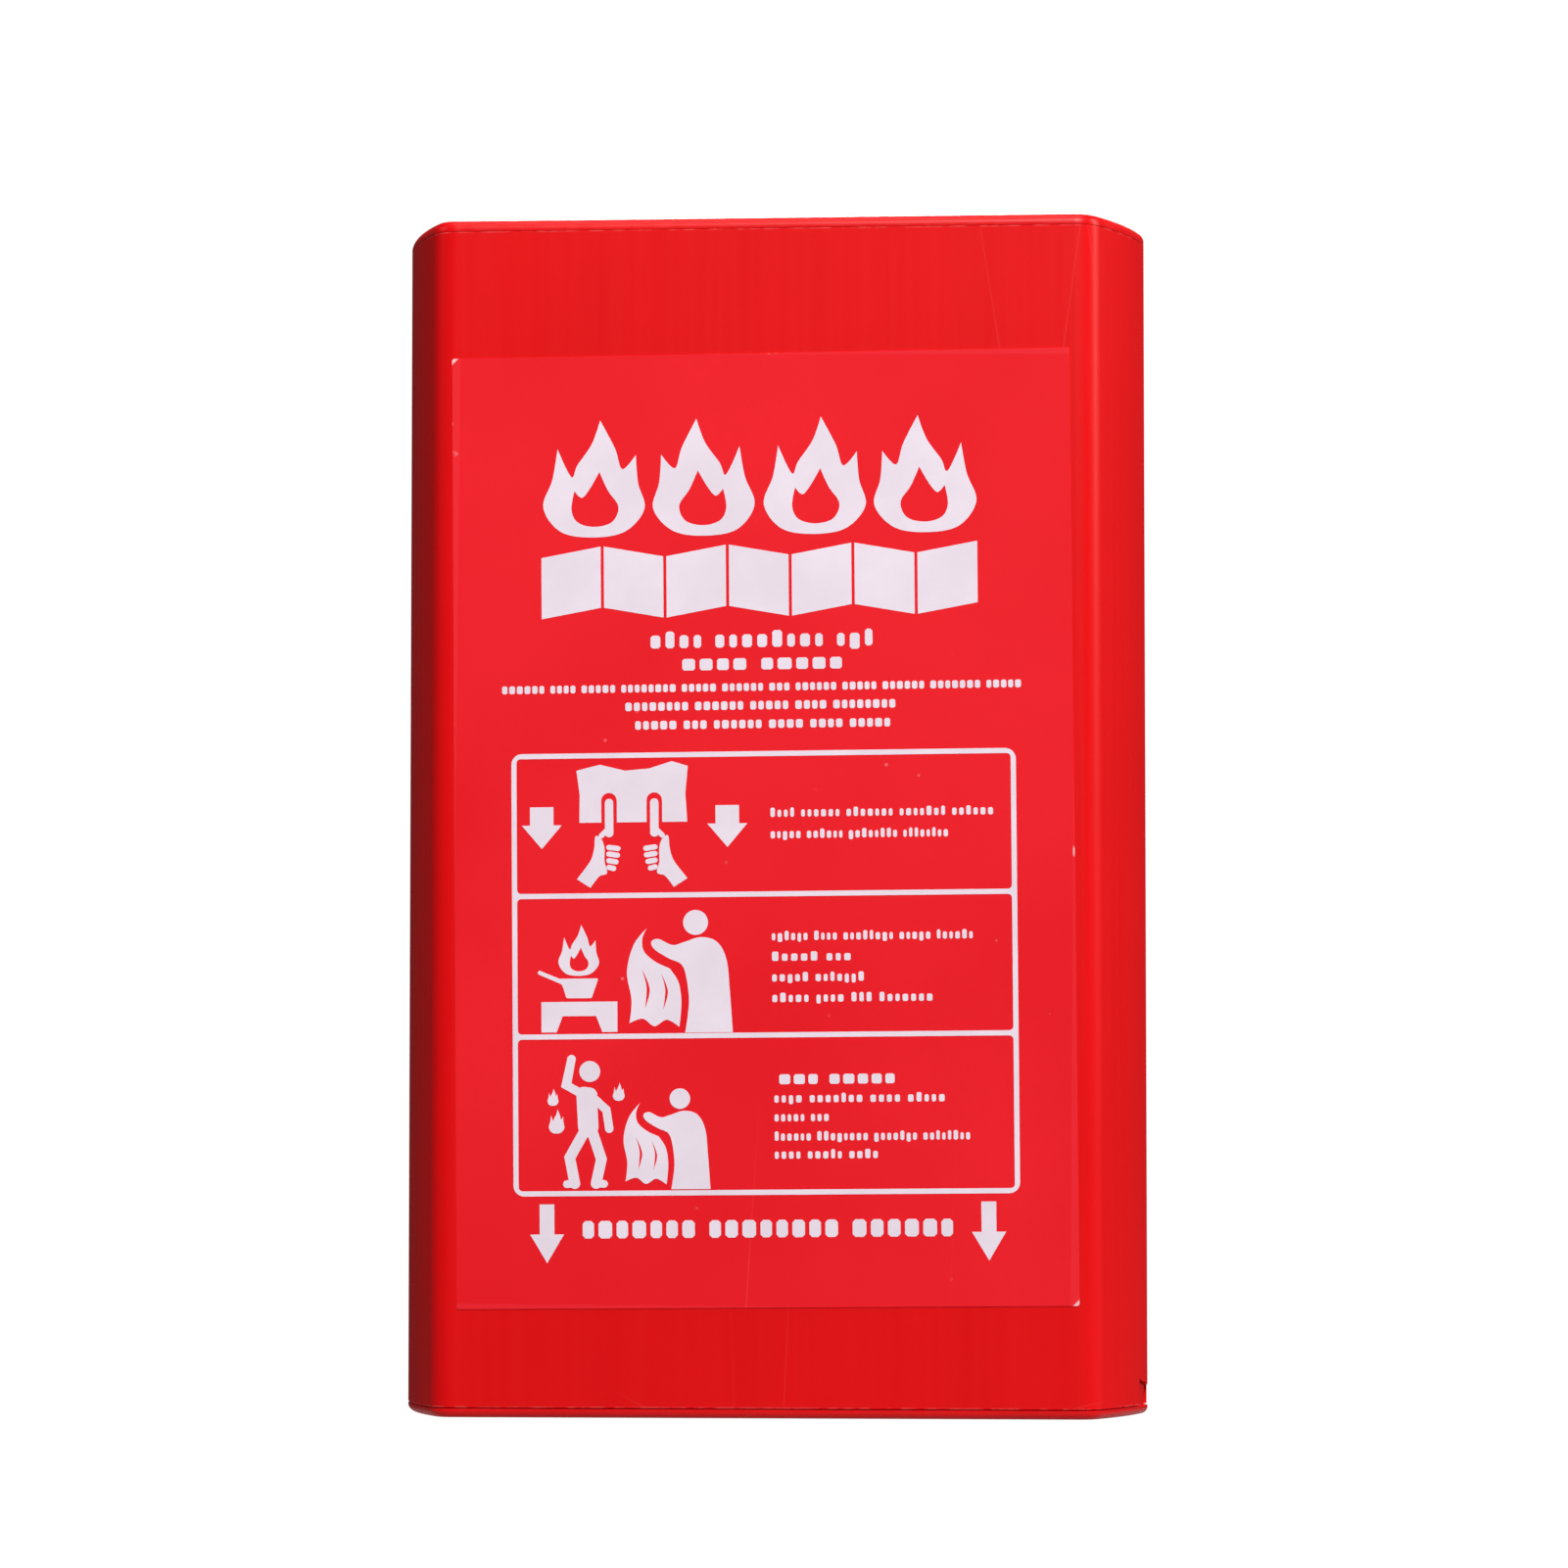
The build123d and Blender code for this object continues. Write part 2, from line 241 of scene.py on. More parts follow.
def label_vinyl():
    """Printed vinyl film: a pinker, paler red, with dust and fine scratches, a painted highlight along its edges,
    and painted white glints at its corners and in nicks along the edges.
    """
    r = Recipe("label_vinyl", IOR=1.46, Specular_IOR_Level=0.16)
    body = r.place()
    shifted = r.node("ShaderNodeVectorMath", {0: body, 1: tuple(LABEL_MIDDLE)}, operation="SUBTRACT")
    local = r.node(
        "ShaderNodeVectorRotate",
        {"Vector": shifted.outputs[0], "Angle": -LABEL_TILT},
        rotation_type="Y_AXIS",
    ).outputs[0]
    x, _, z = r.axes(local)[:3]
    from_side = r.math("SUBTRACT", LABEL_SIZE[0] / 2, r.math("ABSOLUTE", x))
    from_end = r.math("SUBTRACT", LABEL_SIZE[1] / 2, r.math("ABSOLUTE", z))
    inward = r.math("MINIMUM", from_side, from_end)
    # A narrow band along the film's edges, painted lighter as a highlight on the edge.
    edge_highlight_band = r.ramp(inward, 0.4 * MM, 0.1 * MM)
    nicks = r.ramp(r.noise(body, 130.0, 3.0), 0.68, 0.76)
    # Painted white glints: in nicks along the edge band, and at the corners.
    corner = r.ramp(r.math("ADD", from_side, from_end), 1.1 * MM, 0.5 * MM)
    glints_and_nicks = r.math("MAXIMUM", r.math("MULTIPLY", edge_highlight_band, nicks), corner)
    cloud = r.noise(body, 16.0, 3.0)
    weave = r.noise(body, 700.0, 2.0)
    dust = r.ramp(r.cells(body, 150.0), 0.085, 0.05)
    dust = r.math("MULTIPLY", dust, r.ramp(r.noise(body, 40.0, 1.0), 0.58, 0.66))
    marks = scratches(r, r.place(scale=(0.5, 1.0, 0.12), turn=(0.0, -0.3, 0.0)), 55.0, 0.005)
    colour = r.mix(r.ramp(cloud, 0.3, 0.7), FILM_RED_DEEP, FILM_RED)
    # painted highlight along the film's edges
    colour = r.mix(r.math("MULTIPLY", edge_highlight_band, 0.18), colour, FILM_EDGE_HIGHLIGHT)
    colour = r.mix(r.math("MULTIPLY", dust, 0.35), colour, FILM_DUST)
    colour = r.mix(r.math("MULTIPLY", marks, 0.16), colour, FILM_SCRATCH)
    # painted white glints at the corners and in the edge nicks
    colour = r.mix(r.math("MULTIPLY", glints_and_nicks, 0.7), colour, FILM_GLINT)
    rough = r.ramp(cloud, 0.3, 0.7, 0.48, 0.58)
    normal = r.bump(weave, 0.012 * MM, 0.4)
    return r.finish(colour, rough, normal)


def label_ink():
    """White screen print, slightly lilac over the red, with pinholes and a little show-through."""
    r = Recipe("label_ink", IOR=1.45, Specular_IOR_Level=0.2)
    body = r.place()
    cloud = r.noise(body, 60.0, 4.0, 0.6)
    pits = r.ramp(r.cells(body, 420.0), 0.10, 0.04)
    pits = r.math("MULTIPLY", pits, r.ramp(r.noise(body, 120.0, 2.0), 0.55, 0.7))
    colour = r.mix(r.ramp(cloud, 0.3, 0.75), INK_SHADE, INK_WHITE)
    colour = r.mix(r.math("MULTIPLY", pits, 0.5), colour, INK_PIT)
    rough = r.ramp(cloud, 0.3, 0.7, 0.44, 0.56)
    normal = r.bump(r.noise(body, 900.0, 2.0), 0.008 * MM, 0.4)
    return r.finish(colour, rough, normal)


def weave_height(r, x, y, pitch_x, pitch_y):
    """A plain weave: in turn, one thread then the other lies on top.  Returns its height, 0 to 1."""
    u = r.math("DIVIDE", x, pitch_x)
    v = r.math("DIVIDE", y, pitch_y)
    cell = r.math("ADD", r.math("FLOOR", u), r.math("FLOOR", v))
    over = r.math("MODULO", r.math("ABSOLUTE", cell), 2.0)
    round_u = r.math("SINE", r.math("MULTIPLY", r.math("FRACT", u), math.pi))
    round_v = r.math("SINE", r.math("MULTIPLY", r.math("FRACT", v), math.pi))
    warp = r.math("MULTIPLY", r.math("SQRT", round_u), r.ramp(round_v, 0.0, 1.0, 0.5, 1.0, False))
    weft = r.math("MULTIPLY", r.math("SQRT", round_v), r.ramp(round_u, 0.0, 1.0, 0.5, 1.0, False))
    under = r.math("SUBTRACT", 1.0, over)
    return r.math("ADD", r.math("MULTIPLY", warp, over), r.math("MULTIPLY", weft, under))


def glass_cloth():
    """Woven glass fibre: off-white yarns with a silky sheen, and painted shade in the gaps between them."""
    r = Recipe("glass_cloth", IOR=1.5, Specular_IOR_Level=0.5, Sheen_Weight=0.12, Sheen_Roughness=0.5)
    flat = r.place(uv="cloth")
    x, y = r.axes(flat)[:2]
    height = weave_height(r, x, y, 0.9 * MM, 0.9 * MM)
    along_warp = r.noise(r.place(uv="cloth", scale=(1.0, 0.03, 1.0)), 1400.0, 2.0)
    along_weft = r.noise(r.place(uv="cloth", scale=(0.03, 1.0, 1.0)), 1400.0, 2.0)
    cloud = r.noise(r.place(uv="cloth"), 9.0, 4.0)
    yarn = r.math("ADD", r.math("MULTIPLY", along_warp, 0.5), r.math("MULTIPLY", along_weft, 0.5))
    colour = r.mix(r.ramp(yarn, 0.35, 0.65), GLASS_SHADE, GLASS_PALE)
    colour = r.mix(r.ramp(cloud, 0.35, 0.7, 0.0, 0.35), colour, GLASS_YELLOWED)
    # Painted shade: darker where the weave is low, in the gaps between the yarns.
    colour = r.mix(r.ramp(height, 0.45, 0.1, 0.0, 0.6), colour, GLASS_GAP_SHADE)
    rough = r.ramp(yarn, 0.3, 0.7, 0.45, 0.62)
    normal = r.bump(height, 0.16 * MM, 0.9)
    return r.finish(colour, rough, normal)


def webbing():
    """Black woven tape: fine ribs across, a herringbone of yarns and a closer edge."""
    r = Recipe("webbing", IOR=1.45, Specular_IOR_Level=0.4, Sheen_Weight=0.25, Sheen_Roughness=0.4)
    flat = r.place(uv="cloth")
    x, y = r.axes(flat)[:2]
    zigzag = r.math("PINGPONG", x, 3.1 * MM)
    slanted = r.math("ADD", y, r.math("MULTIPLY", zigzag, 0.8))
    height = weave_height(r, x, slanted, 0.62 * MM, 1.1 * MM)
    fuzz = r.noise(r.place(uv="cloth"), 1500.0, 3.0)
    cloud = r.noise(r.place(uv="cloth"), 60.0, 3.0)
    # Painted shade: near-black where the weave is low, in the gaps between the yarns.
    colour = r.mix(r.ramp(height, 0.2, 0.85), TAPE_GAP_SHADE, TAPE_YARN)
    colour = r.mix(r.ramp(cloud, 0.4, 0.7, 0.0, 0.4), colour, TAPE_DUSTY)
    colour = r.mix(r.ramp(fuzz, 0.62, 0.75, 0.0, 0.35), colour, TAPE_FUZZ)
    rough = r.ramp(fuzz, 0.3, 0.7, 0.62, 0.8)
    normal = r.bump(height, 0.22 * MM, 0.9)
    normal = r.bump(fuzz, 0.05 * MM, 0.4, normal)
    return r.finish(colour, rough, normal)


def sewing_thread():
    """Twisted sewing thread: narrow slanting plies in two close tones, the darker one painted shade in the grooves
    between them.
    """
    r = Recipe("thread", IOR=1.5, Specular_IOR_Level=0.4, Sheen_Weight=0.15, Sheen_Roughness=0.4)
    body = r.place(turn=(0.6, 0.6, 0.6))
    wave = r.node("ShaderNodeTexWave", {"Vector": body, "Scale": 900.0, "Distortion": 1.5})
    plies = wave.outputs["Fac"]
    fuzz = r.noise(r.place(), 1800.0, 2.0)
    # Painted shade: darker in the low grooves between the plies.
    colour = r.mix(plies, THREAD_GROOVE_SHADE, THREAD_PALE)
    rough = r.ramp(fuzz, 0.3, 0.7, 0.55, 0.75)
    normal = r.bump(plies, 0.06 * MM, 0.7)
    return r.finish(colour, rough, normal)


# ---- label print ------------------------------------------------------------------------------
INK = 0.03 * MM                              # thickness of the printed ink
INK_STEP = 0.004 * MM                        # rise of an overlapping outline above the last


def arc(cx, cy, radius, start, end, count):
    """Points on an arc, from one angle to the other in degrees."""
    angles = [math.radians(start + (end - start) * i / count) for i in range(count + 1)]
    return [(cx + radius * math.cos(a), cy + radius * math.sin(a)) for a in angles]


def rounded(cx, cy, width, height, radius, count=4):
    """A rectangle with round corners."""
    w, h = width / 2 - radius, height / 2 - radius
    points = []
    for sx, sy, start in ((1, 1, 0), (-1, 1, 90), (-1, -1, 180), (1, -1, 270)):
        points += arc(cx + sx * w, cy + sy * h, radius, start, start + 90, count)
    return points


def circle(cx, cy, radius, count=28):
    return arc(cx, cy, radius, 0, 360 - 360 / count, count - 1)


def limb(points, width):
    """A bent band with round ends, round the polyline through points."""
    half = width / 2
    left, right = [], []
    for i, (x, y) in enumerate(points):
        before = points[max(i - 1, 0)]
        after = points[min(i + 1, len(points) - 1)]
        heading = math.atan2(after[1] - before[1], after[0] - before[0])
        reach = half
        if 0 < i < len(points) - 1:
            one = math.atan2(y - before[1], x - before[0])
            reach = half / max(math.cos(heading - one), 0.5)
        nx, ny = -math.sin(heading) * reach, math.cos(heading) * reach
        left.append((x + nx, y + ny))
        right.append((x - nx, y - ny))
    first = math.degrees(math.atan2(points[1][1] - points[0][1], points[1][0] - points[0][0]))
    last = math.degrees(math.atan2(points[-1][1] - points[-2][1], points[-1][0] - points[-2][0]))
    start_cap = arc(*points[0], half, first + 90, first + 270, 8)
    end_cap = arc(*points[-1], half, last - 90, last + 90, 8)
    return start_cap + right[1:-1] + end_cap + left[-2:0:-1]


def flowing(knots, steps=8):
    """A smooth closed outline through knots; a knot with a third value is a sharp corner."""
    count = len(knots)
    points = []
    for i in range(count):
        p0, p1, p2, p3 = (knots[(i + k) % count] for k in (-1, 0, 1, 2))
        out = (0.0, 0.0) if len(p1) > 2 else ((p2[0] - p0[0]) / 2, (p2[1] - p0[1]) / 2)
        come = (0.0, 0.0) if len(p2) > 2 else ((p3[0] - p1[0]) / 2, (p3[1] - p1[1]) / 2)
        for step in range(steps):
            t = step / steps
            a, b = 2 * t**3 - 3 * t**2 + 1, t**3 - 2 * t**2 + t
            c, d = -2 * t**3 + 3 * t**2, t**3 - t**2
            points.append(tuple(a * p1[k] + b * out[k] + c * p2[k] + d * come[k] for k in (0, 1)))
    return points


def moved(points, dx, dy, scale=1.0, flip=1):
    return [(dx + flip * x * scale, dy + y * scale) for x, y in points]


def print_piece(name, groups, overlapping=False):
    """Ink laid on the label.  Each group is an outline followed by the holes in it, in millimetres
    from the label's middle.  Groups that overlap are printed each a hair above the last."""
    builder = bmesh.new()
    for number, group in enumerate(groups):
        curve = bpy.data.curves.new(name, "CURVE")
        curve.dimensions = "2D"
        curve.fill_mode = "BOTH"
        curve.extrude = INK / 2 + (number * INK_STEP if overlapping else 0.0)
        for outline in group:
            spline = curve.splines.new("POLY")
            spline.points.add(len(outline) - 1)
            for point, (x, y) in zip(spline.points, outline):
                point.co = (x * MM, y * MM, 0.0, 1.0)
            spline.use_cyclic_u = True
        holder = bpy.data.objects.new(name, curve)
        bpy.context.collection.objects.link(holder)
        bpy.context.view_layer.update()
        made = bpy.data.meshes.new_from_object(holder)
        builder.from_mesh(made)
        bpy.data.objects.remove(holder)
        bpy.data.curves.remove(curve)
        bpy.data.meshes.remove(made)
    bmesh.ops.remove_doubles(builder, verts=builder.verts, dist=1e-7)
    mesh = bpy.data.meshes.new(name)
    builder.to_mesh(mesh)
    builder.free()
    face = Vector((LABEL_MIDDLE.x, LABEL_LOW.y - INK / 2, LABEL_MIDDLE.z))
    upright = Matrix.Rotation(math.radians(90), 4, "X")
    tilt = Matrix.Rotation(-LABEL_TILT, 4, "Y")
    mesh.transform(Matrix.Translation(face) @ tilt @ upright)
    piece = bpy.data.objects.new(name, mesh)
    bpy.context.collection.objects.link(piece)
    mesh.materials.append(MATERIALS["label_ink"])
    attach(piece, "case")
    return piece


def flame(width, height, lean=1):
    """A three-tongued flame standing on 0, 0, with an inner hollow."""
    outer = [
        (0.00, 0.00), (0.30, 0.05), (0.48, 0.24), (0.42, 0.46), (0.40, 0.70, 1), (0.27, 0.58),
        (0.20, 0.76), (0.06, 1.00, 1), (-0.02, 0.80), (-0.16, 0.62), (-0.22, 0.52),
        (-0.35, 0.76, 1), (-0.40, 0.50), (-0.49, 0.26), (-0.32, 0.05),
    ]
    inner = [
        (0.00, 0.09), (0.17, 0.13), (0.23, 0.26), (0.13, 0.40), (0.05, 0.56, 1), (-0.04, 0.42),
        (-0.12, 0.34), (-0.19, 0.40, 1), (-0.22, 0.24), (-0.16, 0.13),
    ]
    stretch = [
        [(lean * k[0] * width, k[1] * height, *k[2:]) for k in knots] for knots in (outer, inner)
    ]
    return [flowing(stretch[0]), flowing(stretch[1])]


def title_emblem():
    """Four flames over a pleated cloth: a plain symbol in the place of a title."""
    groups = []
    flame_foot, flame_width, flame_height = 65.9, 23.6, 26.4
    for i, x in enumerate((-37.5, -12.9, 12.3, 36.9)):
        outlines = flame(flame_width, flame_height, lean=-1 if i % 2 else 1)
        groups.append([moved(outline, x, flame_foot) for outline in outlines])
    pleats, slant, gap = 7, 2.4, 0.7
    cloth_left, cloth_width, foot, top = -49.9, 98.8, 47.6, 61.4
    pleat_width = cloth_width / pleats
    for i in range(pleats):
        left = cloth_left + i * pleat_width + gap / 2
        right = left + pleat_width - gap
        rise = slant if i % 2 else 0.0
        fall = slant - rise
        corners = [(left, foot + rise), (right, foot + fall), (right, top + fall), (left, top + rise)]
        groups.append([corners])
    return groups


def text_row(left, right, middle, height, seed, bold=False):
    """A row of small blocks in word-like runs, standing for a line of small print."""
    chance = random.Random(seed)
    gap = height * (0.24 if bold else 0.32)
    blocks, x = [], 0.0
    while x < right - left:
        word = []
        for _ in range(chance.choice((3, 4, 5, 5, 6, 7, 8))):
            wide = height * chance.choice((0.62, 0.68, 0.74) if bold else (0.46, 0.54, 0.60))
            word.append((x, wide, chance.random()))
            x += wide + gap
        x += height * 0.55
        if blocks and x > (right - left) * 1.06:
            break
        blocks += word
    grow = (right - left) / (blocks[-1][0] + blocks[-1][1])
    groups = []
    for start, wide, kind in blocks:
        rise = 0.30 * height if kind > 0.76 and not bold else 0.0
        drop = 0.24 * height if kind < 0.08 and not bold else 0.0
        cx = left + (start + wide / 2) * grow
        cy = middle + (rise - drop) / 2
        groups.append([rounded(cx, cy, wide * grow, height + rise + drop, height * 0.16, 1)])
    return groups


def small_print():
    """The rows on the label: left end, right end, middle, height, and whether it is bold."""
    rows = [
        (-25.0, 24.9, 42.1, 2.9, False),
        (-17.9, 18.0, 36.9, 2.6, True),
        (-58.6, 58.0, 31.7, 1.75, True),
        (-30.8, 29.9, 27.6, 1.9, True),
        (-28.6, 28.7, 23.4, 1.9, True),
        (1.7, 51.5, 3.3, 1.6, False),
        (1.7, 41.4, -1.5, 1.6, False),
        (1.8, 46.7, -24.3, 1.6, False),
        (1.8, 19.4, -28.9, 1.6, False),
        (1.8, 22.3, -33.5, 1.6, False),
        (1.8, 37.6, -38.1, 1.6, False),
        (3.2, 29.0, -56.1, 2.2, True),
        (2.1, 40.1, -60.5, 1.6, False),
        (2.1, 14.2, -64.7, 1.6, False),
        (2.1, 45.7, -69.0, 1.6, False),
        (2.1, 25.1, -73.0, 1.6, False),
        (-41.1, 41.7, -89.3, 3.9, True),
    ]
    groups = []
    for seed, (left, right, middle, height, bold) in enumerate(rows):
        groups += text_row(left, right, middle, height, seed + 3, bold)
    return groups


def panel_frame():
    """The rounded frame round the three pictures, with its two rules."""
    low, high, left, right, line = -81.8, 17.3, -56.6, 56.7, 1.15
    middle = ((left + right) / 2, (low + high) / 2)
    outer = rounded(*middle, right - left, high - low, 2.4, 6)
    levels = (high - line, -14.7, -46.2, low + line)
    inside = right - left - 2 * line
    holes = []
    for top, bottom in zip(levels, levels[1:]):
        upper = top - (0 if top == levels[0] else line / 2)
        lower = bottom + (0 if bottom == levels[-1] else line / 2)
        holes.append(rounded(middle[0], (upper + lower) / 2, inside, upper - lower, 0.9, 4))
    return [[outer, *holes]]


def arrow(x, top, tip, shaft, head, neck):
    """A block arrow that points down."""
    return [[
        (x - shaft / 2, top), (x - shaft / 2, neck), (x - head / 2, neck), (x, tip),
        (x + head / 2, neck), (x + shaft / 2, neck), (x + shaft / 2, top),
    ]]


def arrows():
    groups = [arrow(x, 5.3, -4.1, 5.3, 9.0, 1.2) for x in (-49.8, -8.0)]
    groups += [arrow(x, -83.6, -96.7, 3.3, 7.6, -90.3) for x in (-49.1, 49.7)]
    return groups


def pull_picture():
    """First panel: a folded cloth with two tapes, and a hand closed round each tape."""
    tape_x = (-34.6, -24.4)
    slot, slot_top, hem = 1.75, 6.6, 1.7
    outline = [(-41.3, hem)]
    for x in tape_x:
        outline += [(x - slot, hem), *arc(x, slot_top, slot, 180, 0, 10), (x + slot, hem)]
    outline += [(-17.0, hem), (-17.4, 8.0), (-16.8, 14.2), (-20.4, 15.3), (-25.6, 13.7), (-31.0, 13.3)]
    outline += [(-36.6, 14.7), (-41.9, 13.4), (-41.2, 8.0)]
    groups = [[outline]]
    back_of_hand = flowing([
        (1.15, -3.2), (1.9, -1.0), (3.3, -0.3), (3.7, -3.4), (4.7, -6.4), (7.9, -10.6, 1),
        (4.6, -12.7, 1), (2.5, -10.0), (0.6, -9.2), (1.15, -6.4),
    ])
    thumb = limb([(1.9, -0.2), (0.4, 1.3)], 1.25)
    fingers = [limb([(0.1, -3.0 - 1.6 * i), (-2.1 + 0.12 * i * i, -3.3 - 1.6 * i)], 1.25) for i in range(4)]
    for x, side in zip(tape_x, (-1, 1)):
        groups.append([rounded(x, 2.7, 1.9, 8.6, 0.9)])
        for part in (back_of_hand, thumb, *fingers):
            groups.append([moved(part, x, -1.1, 0.93, side)])
    return groups


def hob_picture():
    """Second panel, left: a burning pan on a stand."""
    stand = [
        (-50.1, -38.4), (-33.0, -38.4), (-33.0, -45.2), (-36.4, -45.2), (-37.8, -41.6),
        (-45.3, -41.6), (-46.7, -45.2), (-50.1, -45.2),
    ]
    pan = [
        (-50.6, -31.3), (-50.9, -31.9), (-50.5, -32.3), (-46.3, -34.1), (-45.5, -34.5), (-45.1, -35.4),
        (-44.5, -37.4), (-44.2, -37.6), (-39.0, -37.6), (-38.7, -37.4), (-37.3, -33.4), (-37.5, -33.2),
        (-46.0, -33.2),
    ]
    blaze = [moved(outline, -41.6, -32.6) for outline in flame(9.4, 11.4)]
    return [[stand], [pan], blaze]


def responder(dx, dy, scale=1.0):
    """A person who holds the cloth up in front of them, standing on dx, dy."""
    head = circle(-8.4, 24.6, 2.8)
    body = flowing([
        (-10.9, 0.0, 1), (-10.0, 6.5), (-10.5, 12.0), (-11.6, 15.2), (-14.4, 16.6), (-17.6, 18.6),
        (-18.4, 20.3), (-16.8, 21.0), (-13.6, 19.6), (-10.8, 20.3), (-7.2, 21.3), (-3.6, 20.2),
        (-1.5, 16.2), (-0.8, 9.0), (-0.2, 0.0, 1),
    ])
    cloth = flowing([
        (-19.4, 23.4, 1), (-22.4, 19.6), (-23.9, 13.6), (-22.9, 7.4), (-23.4, 2.2, 1), (-20.4, 3.2),
        (-17.8, 1.5), (-15.0, 2.9), (-12.2, 1.3, 1), (-11.7, 6.6), (-12.3, 11.2), (-14.3, 14.4, 1),
        (-17.5, 15.9), (-20.0, 18.2), (-20.4, 21.0),
    ])
    folds = [
        flowing([(-20.6, 14.4, 1), (-19.5, 10.2), (-19.9, 5.4, 1), (-18.8, 9.8)]),
        flowing([(-16.2, 13.2, 1), (-15.3, 9.6), (-15.8, 5.2, 1), (-14.7, 9.2)]),
    ]
    parts = [[head], [body], [cloth, *folds]]
    return [[moved(outline, dx, dy, scale) for outline in group] for group in parts]


def victim_picture():
    """Third panel, left: a person in alarm with an arm thrown up and flames at their clothing."""
    x, y = -40.2, -80.4
    limbs = [
        limb([(-0.2, 21.0), (-4.4, 23.4), (-3.2, 29.2)], 1.9),
        limb([(0.9, 21.2), (4.6, 17.8), (5.2, 13.6)], 1.9),
        limb([(-0.5, 21.3), (0.9, 21.1)], 3.4),
        limb([(0.2, 20.6), (0.5, 14.0)], 4.6),
        limb([(-0.6, 12.6), (-3.7, 7.2), (-2.6, 1.4)], 2.4),
        limb([(1.5, 12.6), (3.4, 6.8), (2.2, 1.4)], 2.4),
        limb([(-2.6, 1.4), (-4.4, 1.3)], 1.7),
        limb([(2.2, 1.4), (4.0, 1.3)], 1.7),
    ]
    groups = [[moved(circle(0.9, 26.4, 2.35), x, y)]]
    groups += [[moved(part, x, y)] for part in limbs]
    for dx, dy, size in ((-6.6, 12.6, 1.0), (-7.4, 18.8, 0.7), (7.4, 19.8, 0.75)):
        blaze = flame(3.6 * size, 5.4 * size)[0]
        groups.append([moved(blaze, x + dx, y + dy)])
    return groups


def make_label_print():
    return [
        print_piece("title_emblem", title_emblem()),
        print_piece("small_print", small_print()),
        print_piece("panel_frame", panel_frame()),
        print_piece("pull_arrows", arrows()),
        print_piece("pull_picture", pull_picture(), overlapping=True),
        print_piece("hob_picture", hob_picture() + responder(-6.9, -45.5)),
        print_piece("clothing_picture", victim_picture() + responder(-12.2, -80.4, 0.82), True),
    ]


# ---- folded glass cloth -----------------------------------------------------------------------
CLOTH_SIDE = 1.0
ACROSS = 7                                   # panels of the first zigzag, across the cloth
ALONG = 4                                    # panels of the second, along it
CLOTH_THICKNESS = 0.43 * MM
THIN_SHARE = 0.6                             # the cloth's thickness as a share of its hem's
HEM_THICKNESS = CLOTH_THICKNESS / THIN_SHARE
HEM = 10 * MM
SIDE_GAP = 0.2 * MM                          # between the widest fold and the pack's side
SIDE_WANDER = 1.0 * MM                       # how much further in a fold at the side can fall
FREE_WANDER = 1.2 * MM                       # the same for the cloth's own edges
END_WANDER = 1.6 * MM                        # and for the folds at the top and bottom
FIRST_GAP = 0.6 * MM                         # from the cloth's first edge to the pack's end
LAST_GAP = 1.5 * MM                          # from its last edge to the pack's end
FULLNESS = 0.985                             # how much of its room's depth the pack fills,
SETTLING = 0.07                              # and how much less of it in the middle
RIPPLE = 0.22 * MM
PACK_SIZE = PACK_HIGH - PACK_LOW
PACK_MIDDLE = (PACK_HIGH + PACK_LOW) / 2
PITCH = PACK_SIZE.y / (ACROSS * ALONG)       # room for one layer
GROUP = ACROSS * PITCH                       # room for one group of layers


def split(length, panels, bend):
    """Which panel a distance along the cloth is in, how far along it, and how far round a bend:
    (panel, share of the straight part, angle or None)."""
    panel_length = CLOTH_SIDE / panels
    panel = min(int(length / panel_length), panels - 1)
    inside = length - panel * panel_length
    if panel > 0 and inside < bend / 2:
        return panel - 1, 1.0, math.pi * (0.5 + inside / bend)
    if panel < panels - 1 and panel_length - inside < bend / 2:
        return panel, 1.0, math.pi * (0.5 - (panel_length - inside) / bend)
    start = bend / 2 if panel > 0 else 0.0
    end = panel_length - (bend / 2 if panel < panels - 1 else 0.0)
    return panel, (inside - start) / (end - start), None


def uneven(number, along):
    """How far a fold falls short of the pack's edge, from 0 to 1, wandering along the fold."""
    return 0.5 + 0.5 * noise.noise(Vector((along * 7.0, number * 3.7, 1.3)))


